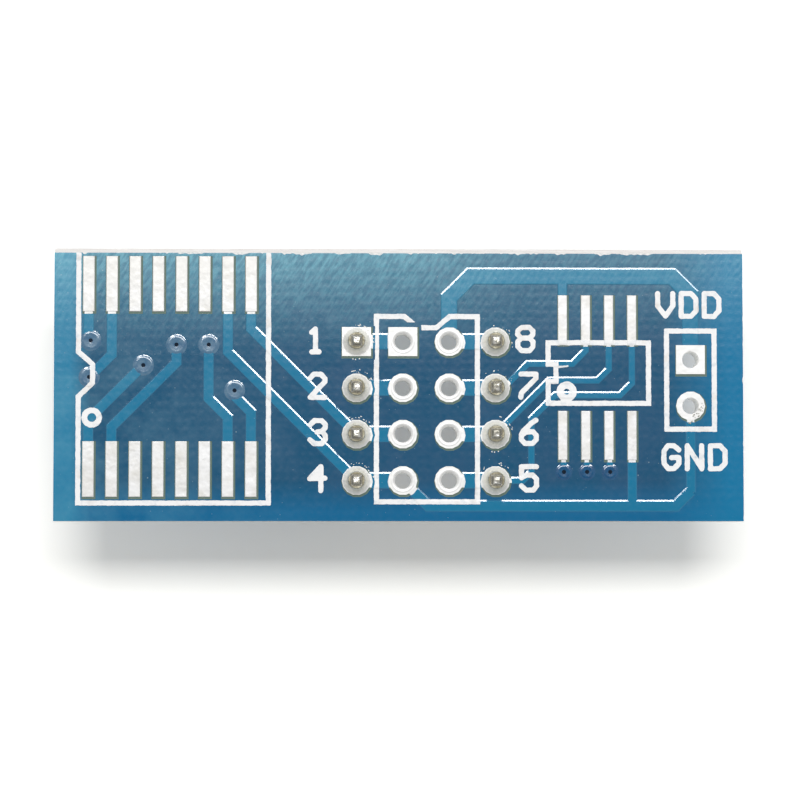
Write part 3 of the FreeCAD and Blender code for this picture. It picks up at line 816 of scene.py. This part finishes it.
def outline_faces(field, xs, ys):
    """Corner points and faces of the area where a field is below zero."""
    points = []
    known = {}

    def keep(key, x, y):
        if key not in known:
            known[key] = len(points)
            points.append((x, y))
        return known[key]

    def crossing(a, b):
        low, high = sorted((a, b))
        share = field[low] / (field[low] - field[high])
        share = min(max(share, 0.04), 0.96)
        x = xs[low] + share * (xs[high] - xs[low])
        y = ys[low] + share * (ys[high] - ys[low])
        return keep((low, high), x, y)

    faces = []
    for i in range(field.shape[0] - 1):
        for j in range(field.shape[1] - 1):
            ring = [(i, j), (i + 1, j), (i + 1, j + 1), (i, j + 1)]
            inside = [field[place] < 0 for place in ring]
            if not any(inside):
                continue
            face = []
            for k in range(4):
                here = ring[k]
                after = ring[(k + 1) % 4]
                if inside[k]:
                    face.append(keep(here, xs[here], ys[here]))
                if inside[k] != inside[(k + 1) % 4]:
                    face.append(crossing(here, after))
            if len(face) > 2:
                faces.append(face)
    return points, faces


def new_piece(name, build, materials, replaced=()):
    """A piece of the object made from a mesh in scene units."""
    bmesh.ops.recalc_face_normals(build, faces=build.faces)
    mesh = bpy.data.meshes.new(name)
    build.to_mesh(mesh)
    build.free()
    for material in materials:
        mesh.materials.append(material)
    piece = bpy.data.objects.new(name, mesh)
    bpy.context.scene.collection.objects.link(piece)
    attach(piece, "root")
    if replaced:
        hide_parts(*replaced)
    return piece


def laid_on(name, points, faces, surface, thick, material, replaced=(), slot="ink"):
    """A thin layer on the mask that follows its relief, with walls down to it."""
    build = bmesh.new()
    heights = [surface_height(surface, x, y) for x, y in points]
    upper = [build.verts.new(Vector((x, y, z + thick)) * MM)
             for (x, y), z in zip(points, heights)]
    lower = [build.verts.new(Vector((x, y, z)) * MM) for (x, y), z in zip(points, heights)]
    for face in faces:
        build.faces.new([upper[k] for k in face])
    build.verts.index_update()
    rims = [edge for edge in build.edges if edge.is_boundary]
    for edge in rims:
        start, end = edge.verts
        build.faces.new([start, end, lower[end.index], lower[start.index]])
    loose = [vertex for vertex in build.verts if not vertex.link_faces]
    bmesh.ops.delete(build, geom=loose, context="VERTS")
    return new_piece(name, build, [material], replaced)


def lettering(name, words, surface, material, seed):
    """One piece of ink figures. Each word is its text, its middle and its letter pitch."""
    all_points = []
    all_faces = []
    reach = FIGURE_REACH * FIGURE_STEP
    steps = np.linspace(-reach, reach, int(2 * reach / ink_cell) + 1)
    for text, (x, y), pitch in words:
        for k, letter in enumerate(text):
            left = x + (k - (len(text) - 1) / 2) * pitch
            runs = [[(left + a * FIGURE_STEP, y + b * FIGURE_STEP) for a, b in run]
                    for run in FIGURES[letter]]
            xs, ys = np.meshgrid(left + steps, y + steps, indexing="ij")
            field = stroke_field(runs, ink_stroke, xs, ys, seed + k)
            points, faces = outline_faces(field, xs, ys)
            join_faces(all_points, all_faces, points, faces)
        seed += 10
    return laid_on(name, all_points, all_faces, surface, ink_thick, material)


def pin_numbers(surface, material):
    """Numbers 1 to 8 beside the pins."""
    words = []
    for number in range(1, 9):
        middle = centre_mm("pin_%d" % number)
        east, north = number_own.get(number, number_left if number < 5 else number_right)
        words.append((str(number), (middle.x + east, middle.y + north), 0.0))
    return lettering("pin_numbers", words, surface, material, 3)


def power_marks(surface, material):
    """The usual short marks for supply and ground beside the two power holes."""
    words = []
    marks = [("VDD", "power_hole_supply", supply_mark), ("GND", "power_hole_ground", ground_mark)]
    for text, hole, (east, north) in marks:
        middle = mount_mm(hole)
        words.append((text, (middle.x + east, middle.y + north), mark_pitch))
    return lettering("power_marks", words, surface, material, 60)


def ink_islands():
    """The printed outlines in the frame: for each separate one, the rim of its upper face."""
    mesh = frame["nodes"]["ink_lines"].data
    spots = [(round(v.co.x / MM, 3), round(v.co.y / MM, 3)) for v in mesh.vertices]
    uses = {}
    group = {}

    def root(spot):
        while group.setdefault(spot, spot) != spot:
            spot = group[spot]
        return spot

    for face in mesh.polygons:
        if face.normal.z < 0.5:
            continue
        ring = [spots[k] for k in face.vertices]
        for start, end in zip(ring, ring[1:] + ring[:1]):
            if start == end:
                continue
            key = (min(start, end), max(start, end))
            uses[key] = uses.get(key, 0) + 1
            group[root(start)] = root(end)
    islands = {}
    for (start, end), count in uses.items():
        if count == 1:
            islands.setdefault(root(start), []).append((start, end))
    return list(islands.values())


def island_field(rim, xs, ys):
    """Below zero inside a closed rim: minus the distance to it inside, plus the distance outside."""
    away = np.full(xs.shape, 1e9)
    inside = np.zeros(xs.shape, dtype=bool)
    for (ax, ay), (bx, by) in rim:
        away = np.minimum(away, distance_to_run(xs, ys, (ax, ay), (bx, by)))
        if ay != by:
            crosses = (ys >= min(ay, by)) & (ys < max(ay, by))
            inside ^= crosses & (xs < ax + (ys - ay) / (by - ay) * (bx - ax))
    return np.where(inside, -away, away)


def kept_off_land(field, xs, ys):
    """Leaves ink out over the square land in the pin field, and a little beyond it."""
    land = mount_mm("field_hole_1")
    from_east = land.x + land_half + land_clear_east - xs
    from_west = xs - land.x + land_half + land_clear_east
    from_north = land.y + land_half + land_clear_north - ys
    from_south = ys - land.y + land_half
    depth = np.minimum(np.minimum(from_east, from_west), np.minimum(from_north, from_south))
    return np.maximum(field, depth)


def grid_over(low_x, high_x, low_y, high_y, cell):
    """Grid points over a rectangle."""
    along = np.arange(low_x, high_x + cell, cell)
    across = np.arange(low_y, high_y + cell, cell)
    return np.meshgrid(along, across, indexing="ij")


def join_faces(points, faces, more_points, more_faces):
    base = len(points)
    points += more_points
    faces += [[base + n for n in face] for face in more_faces]


def rough_ink_lines(surface, material):
    """The ink outlines with the slightly ragged edges of a screen print, in place of the plain ones."""
    pins_west = centre_mm("pin_1").x
    pins_east = centre_mm("pin_8").x
    first = mount_mm("narrow_pad_1")
    pitch = lead_pitch()
    groups = []
    small_chip = []
    for rim in ink_islands():
        rim_x = [spot[0] for run in rim for spot in run]
        if first.x - pitch < min(rim_x) and max(rim_x) < first.x + 4 * pitch:
            small_chip.append(rim)
            continue
        middle = (min(rim_x) + max(rim_x)) / 2
        groups.append(([rim], [], field_ink_east if pins_west < middle < pins_east else 0.0))
    groups.append((small_chip, runs_over_pads(small_chip), 0.0))

    points = []
    faces = []
    margin = 3 * ink_cell
    for number, (rims, strokes, east) in enumerate(groups):
        spots = [spot for rim in rims for run in rim for spot in run]
        spot_x, spot_y = zip(*spots)
        xs, ys = grid_over(min(spot_x) - margin, max(spot_x) + margin,
                           min(spot_y) - margin, max(spot_y) + margin, ink_cell)
        field = np.full(xs.shape, 1e9)
        for rim in rims:
            field = np.minimum(field, island_field(rim, xs, ys))
        for start, end in strokes:
            field = np.minimum(field, distance_to_run(xs, ys, start, end) - ink_stroke / 2)
        if east:
            field = kept_off_land(field, xs, ys)
        field = roughened(field, xs, ys, 7.0 + number)
        join_faces(points, faces, *outline_faces(field, xs + east, ys))
    return laid_on("ink_outlines", points, faces, surface, ink_thick, material, ["ink_lines"])


def runs_over_pads(rims):
    """Where the small chip's outline is printed over the ends of its upper pads."""
    first = mount_mm("narrow_pad_1")
    pitch = lead_pitch()
    y = max(spot[1] for rim in rims for run in rim for spot in run) - ink_stroke / 2
    half = over_pad_half * pitch
    return [((first.x + k * pitch - half, y), (first.x + k * pitch + half, y)) for k in range(4)]


def stray_ink(surface, material):
    """A thin fragment of ink that lies loose inside the small chip's outline."""
    first = mount_mm("narrow_pad_1")
    start = Vector((first.x - stray_west, first.y + stray_north))
    end = start + Vector((stray_long, stray_rise))
    reach = stray_width / 2 + 3 * ink_cell
    xs, ys = grid_over(start.x - reach, end.x + reach, start.y - reach, end.y + reach, ink_cell)
    field = stroke_field([[start, end]], stray_width, xs, ys, 90.0)
    return laid_on("stray_ink", *outline_faces(field, xs, ys), surface, ink_thick, material)


# small details

def via_places():
    """The covered vias, each as its middle and its radius."""
    first = mount_mm("wide_pad_1")
    rows = {"south": centre_mm("pad_3").y, "north": centre_mm("pad_14").y}
    places = []
    for column, row, east, north in large_vias:
        places.append((first.x + column * lead_pitch() + east, rows[row] + north, large_via_r))
    first = mount_mm("narrow_pad_1")
    for column in range(small_via_columns):
        x = first.x + column * lead_pitch() + small_via_east
        places.append((x, first.y - small_via_south, small_via_r))
    return places


def bridged(build, rings, material_index=0):
    """Smooth faces between each ring of corners and the next."""
    count = len(rings[0])
    for outer, inner in zip(rings, rings[1:]):
        for k in range(count):
            after = (k + 1) % count
            face = build.faces.new([outer[k], outer[after], inner[after], inner[k]])
            face.smooth = True
            face.material_index = material_index


def turned(build, x, y, profile, side_index=0, end_index=None):
    """A round form from a profile of radius and height. It is closed when its end has a material."""
    rings = []
    for r, z in profile:
        ring = []
        for k in range(round_sides):
            turn = 2 * math.pi * k / round_sides
            place = Vector((x + r * math.cos(turn), y + r * math.sin(turn), z))
            ring.append(build.verts.new(place * MM))
        rings.append(ring)
    bridged(build, rings, side_index)
    if end_index is not None:
        build.faces.new(rings[-1]).material_index = end_index


def via_beads(name, foot, crest, tones):
    """Round beads of mask over the vias on one side, each with a small pit painted dark as shade."""
    up = 1 if crest > foot else -1
    build = bmesh.new()
    lift = up * bead_lift
    dip = up * bead_dip
    for x, y, radius in via_places():
        profile = [
            (radius + bead_foot, foot),
            (radius + bead_edge, crest + up * 0.25 * bead_edge),
            *((radius - inward * bead_ring, crest + rise * lift) for inward, rise in bead_rises),
            (radius - bead_ring, crest + dip),
            (pit_r + pit_rim, crest + dip),
            (pit_r, crest + 0.5 * dip),
        ]
        # the closed end of each bead is its pit, coloured with the painted shade
        turned(build, x, y, profile, 0 if radius == large_via_r else 1, 2)
    return new_piece(name, build, tones)


def hole_lips(material):
    """The slightly raised lip of tin round each open hole of the pin field."""
    build = bmesh.new()
    for mount in frame["record"]["mounts"]:
        if not mount["name"].startswith("field_hole_"):
            continue
        place = Vector(mount["pos_m"]) / MM
        inner = mount["dims"]["r_mm"] + lip_gap
        top = land_top + lip_lift
        profile = [
            (inner + lip_wide + lip_slope, land_top - 0.5 * lip_edge),
            (inner + lip_wide, top),
            (inner, top - lip_edge),
            (inner, land_top - lip_deep),
        ]
        turned(build, place.x, place.y, profile)
    return new_piece("hole_lips", build, [material])


def resting(surface, x, y):
    """A place on the upper side for a small drop, which is sunk in a little."""
    return Vector((x, y, surface_height(surface, x, y) - speck_sunk))


def blob(build, place, radius, height, seed, flat=1.0, turn=0.0):
    """A small irregular drop that sits on a surface."""
    rings = []
    for share, up in drop_levels:
        ring = []
        for k in range(drop_sides):
            angle = 2 * math.pi * k / drop_sides
            spot = Vector((math.cos(angle), math.sin(angle), seed * 3.7))
            r = radius * share * (1 + drop_uneven * noise.noise(spot * 1.3))
            along = r * math.cos(angle)
            across = r * math.sin(angle) * flat
            x = place.x + along * math.cos(turn) - across * math.sin(turn)
            y = place.y + along * math.sin(turn) + across * math.cos(turn)
            ring.append(build.verts.new(Vector((x, y, place.z + up * height)) * MM))
        rings.append(ring)
    bridged(build, rings)
    top = build.verts.new(Vector((place.x, place.y, place.z + height)) * MM)
    for k in range(drop_sides):
        build.faces.new([rings[-1][k], rings[-1][(k + 1) % drop_sides], top]).smooth = True


def solder_specks(surface, material):
    """Spatter and flux crumbs beside the joints, most of it to the north-east of each."""
    chance = np.random.default_rng(11)
    build = bmesh.new()
    for number in range(1, 9):
        pin = centre_mm("pin_%d" % number)
        for k in range(specks_left if number < 5 else specks_right):
            angle = math.radians(chance.normal(speck_turn, speck_spread))
            reach = chance.uniform(speck_near, speck_far)
            place = resting(surface, pin.x + reach * math.cos(angle), pin.y + reach * math.sin(angle))
            radius = chance.uniform(speck_small, speck_large)
            blob(build, place, radius, radius * speck_high, number * 20 + k, speck_flat,
                 angle + math.pi / 2)
    for number, (east, south) in enumerate(crumb_places):
        for pin_name in ("pin_1", "pin_6"):
            pin = centre_mm(pin_name)
            place = resting(surface, pin.x + east, pin.y - south)
            blob(build, place, crumb_r, crumb_high, 300 + number)
    return new_piece("solder_specks", build, [material])


def ground_stain(surface, material):
    """Old solder crumbs and soil on the lower right of the ground hole's land."""
    chance = np.random.default_rng(5)
    ground = mount_mm("power_hole_ground")
    build = bmesh.new()
    for k in range(soil_on_land):
        angle = math.radians(chance.uniform(*soil_turns))
        reach = chance.uniform(*soil_reach)
        place = resting(surface, ground.x + reach * math.cos(angle),
                        ground.y + reach * math.sin(angle))
        blob(build, place, chance.uniform(*soil_r), soil_high, 400 + k, soil_flat,
             angle + math.pi / 2)
    for k in range(south_soil):
        x = ground.x + chance.uniform(-south_soil_half, south_soil_half)
        place = resting(surface, x, ground.y - chance.uniform(*south_soil_reach))
        blob(build, place, chance.uniform(*south_soil_r), south_soil_high, 430 + k)
    return new_piece("ground_stain", build, [material])


def bite(wave, x, y):
    """How deep one wave of the bites is at a place on an edge."""
    steps, start, less, weight = wave
    return (noise.noise(Vector((x * steps, y * steps, 0)) + Vector(start)) - less) * weight


def edge_chips(surface, material):
    """White chips where the mask broke off along the scored edge and the sawn edge."""
    points = []
    faces = []
    low, high = box_mm("mask_top")
    xs, ys = grid_over(low.x + chip_corner, high.x - chip_corner,
                       high.y - chip_north_strip, high.y - chip_edge, chip_cell)
    depth = np.zeros(xs.shape)
    for i, x in enumerate(xs[:, 0]):
        depth[i, :] = chip_north * max(0.0, bite(coarse_wave, x, 0) + bite(fine_wave, x, 0))
    join_faces(points, faces, *outline_faces(high.y - ys - depth, xs, ys))
    xs, ys = grid_over(high.x - chip_east_strip, high.x - chip_edge,
                       low.y + chip_corner, high.y - chip_east_end, chip_cell)
    depth = np.zeros(xs.shape)
    for j, y in enumerate(ys[0]):
        depth[:, j] = chip_east * max(0.0, bite(sawn_wave, 0, y))
    join_faces(points, faces, *outline_faces(high.x - xs - depth, xs, ys))
    return laid_on("edge_chips", points, faces, surface, chip_lift, material, slot="laminate")


# stage

def ray_share(tree, kinds):
    """1 for rays of the named kinds and 0 for all others."""
    rays = tree.nodes.new("ShaderNodeLightPath")
    share = rays.outputs[kinds[0]]
    for kind in kinds[1:]:
        share = reckoned(tree, "MAXIMUM", share, rays.outputs[kind])
    return share


def floor_piece():
    """A white table. It reads as white to the camera and keeps the object's shadow."""
    half = floor_side / 2 * MM
    mesh = bpy.data.meshes.new("table")
    mesh.from_pydata([(-half, -half, 0), (half, -half, 0), (half, half, 0), (-half, half, 0)], [],
                     [(0, 1, 2, 3)])
    piece = bpy.data.objects.new("table", mesh)
    bpy.context.scene.collection.objects.link(piece)
    material = bpy.data.materials.new("table_white")
    material.use_nodes = True
    tree = material.node_tree
    shader = tree.nodes["Principled BSDF"]
    shader.inputs["Roughness"].default_value = 0.9
    shader.inputs["Specular IOR Level"].default_value = 0.0
    seen = ray_share(tree, ["Is Camera Ray", "Is Glossy Ray", "Is Transmission Ray"])
    looks = tuple(share * floor_seen for share in floor_tint)
    colour = mixed(tree, seen, (floor_lit, floor_lit, floor_lit), looks)
    tree.links.new(colour, shader.inputs["Base Color"])
    mesh.materials.append(material)


def area_light(name, place, size_x, size_y, share=0.0, bright=0.0):
    """A softbox aimed at the board. The share is what it adds to a white upward face. A lamp
    with a brightness instead is seen by gloss only."""
    data = bpy.data.lights.new(name, "AREA")
    data.shape = "RECTANGLE"
    data.size = size_x * MM
    data.size_y = size_y * MM
    target = Vector((0, 0, crest_z))
    aim = target - Vector(place)
    lean = -aim.normalized().z
    data.energy = share * math.pi ** 2 * (aim.length * MM) ** 2 / lean
    data.energy += bright * math.pi * size_x * size_y * MM * MM
    lamp = bpy.data.objects.new(name, data)
    lamp.visible_diffuse = not bright
    lamp.location = Vector(place) * MM
    lamp.rotation_euler = aim.to_track_quat("-Z", "Y").to_euler()
    bpy.context.scene.collection.objects.link(lamp)


def world_light():
    """Soft light from all round, darker overhead where the camera stands. The camera sees plain
    white, and gloss sees that white low down."""
    world = bpy.data.worlds.new("studio")
    bpy.context.scene.world = world
    world.use_nodes = True
    tree = world.node_tree
    background = tree.nodes["Background"]
    background.inputs["Color"].default_value = (1, 1, 1, 1)
    place = tree.nodes.new("ShaderNodeTexCoord")
    split = tree.nodes.new("ShaderNodeSeparateXYZ")
    tree.links.new(place.outputs["Generated"], split.inputs["Vector"])

    upward = split.outputs["Z"]
    overhead = held_ramp(tree, upward, *zenith_band, around_share, zenith_share)
    low_down = held_ramp(tree, upward, *low_band, 1.0, around_share)
    mirrored = reckoned(tree, "MINIMUM", low_down, overhead)
    in_gloss = ray_share(tree, ["Is Glossy Ray"])
    in_view = ray_share(tree, ["Is Camera Ray", "Is Transmission Ray"])
    strength = mixed(tree, in_gloss, overhead, mirrored, "FLOAT")
    strength = mixed(tree, in_view, strength, 1.0, "FLOAT")
    tree.links.new(strength, background.inputs["Strength"])


def camera():
    data = bpy.data.cameras.new("camera")
    data.lens = view_lens
    data.sensor_width = view_sensor
    data.clip_start = 0.01
    data.clip_end = 20.0
    eye = bpy.data.objects.new("camera", data)
    target = Vector((view_x, view_y, crest_z))
    place = target + Vector((-view_west, -view_south, view_up))
    eye.location = place * MM
    away = (place - target).normalized()
    right = Vector((0, 1, 0)).cross(away).normalized()
    eye.rotation_euler = Matrix((right, away.cross(right), away)).transposed().to_euler()
    bpy.context.scene.collection.objects.link(eye)
    bpy.context.scene.camera = eye


camera()
floor_piece()
world_light()
area_light("strip_north", (0, strip_north, crest_z + strip_up), strip_long, strip_deep, strip_share)
for name, (x, y, up), width, depth, bright in glints:
    area_light(name, (x, y, crest_z + up), width, depth, bright=bright)
bpy.context.scene.view_settings.view_transform = "Standard"

materials = finish_nodes()
surface = upper_surface()
rough_ink_lines(surface, materials["ink"])
pin_numbers(surface, materials["ink"])
power_marks(surface, materials["ink"])
stray_ink(surface, materials["ink"])
bead_tones = [materials["bead"], materials["bead_small"], materials["pit_shade"]]
via_beads("via_beads_top", mask_face, crest_z, bead_tones)
via_beads("via_beads_under", under_face, under_crest_z, bead_tones)
hole_lips(materials["tinned_copper"])
solder_specks(surface, materials["solder"])
ground_stain(surface, materials["soiled"])
edge_chips(surface, materials["chip"])
